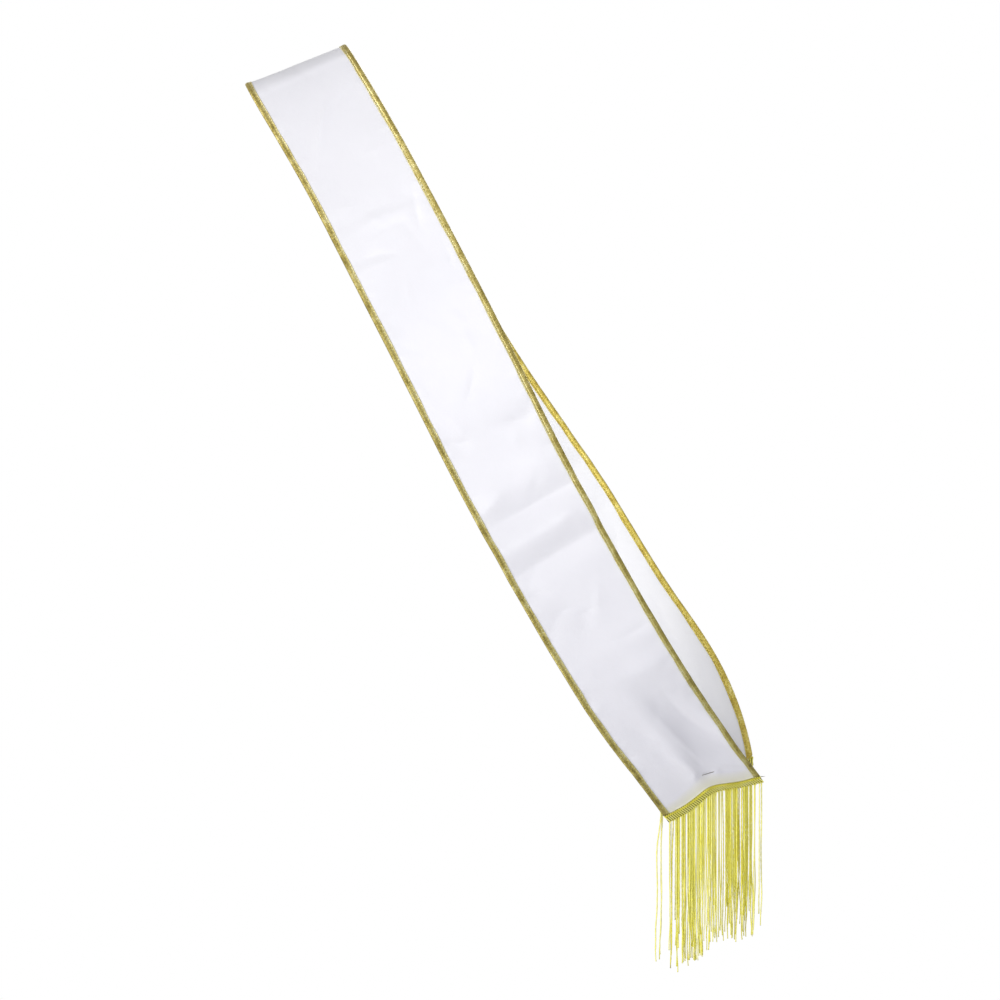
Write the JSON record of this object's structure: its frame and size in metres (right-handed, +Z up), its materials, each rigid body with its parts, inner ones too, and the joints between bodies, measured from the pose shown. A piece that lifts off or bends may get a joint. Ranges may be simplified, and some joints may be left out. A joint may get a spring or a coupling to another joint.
{
  "type": "sash",
  "caption": "Plain white satin sash in its worn form, over one shoulder to the opposite hip, with gold ribbon binding and yellow fringed ends.",
  "frame": {"origin": "on the wearer's right shoulder, under the middle of the cloth where it crosses the shoulder's crest", "axes": "+Z up, -Y out of the wearer's chest, +X towards the wearer's left"},
  "size_m": [0.4578, 0.2281, 0.8091],
  "materials": {
    "satin": "white polyester satin, soft sheen",
    "binding": "woven gold lame ribbon, folded over the edge and stitched",
    "fringe": "shiny yellow rayon yarn in a looped header with hanging strands"
  },
  "bodies": {
    "root": {"front_stretch": "satin", "back_stretch": "satin", "binding_neck_side": "binding", "binding_arm_side": "binding", "fringe_front": "fringe", "fringe_back": "fringe"}
  },
  "joints": []
}
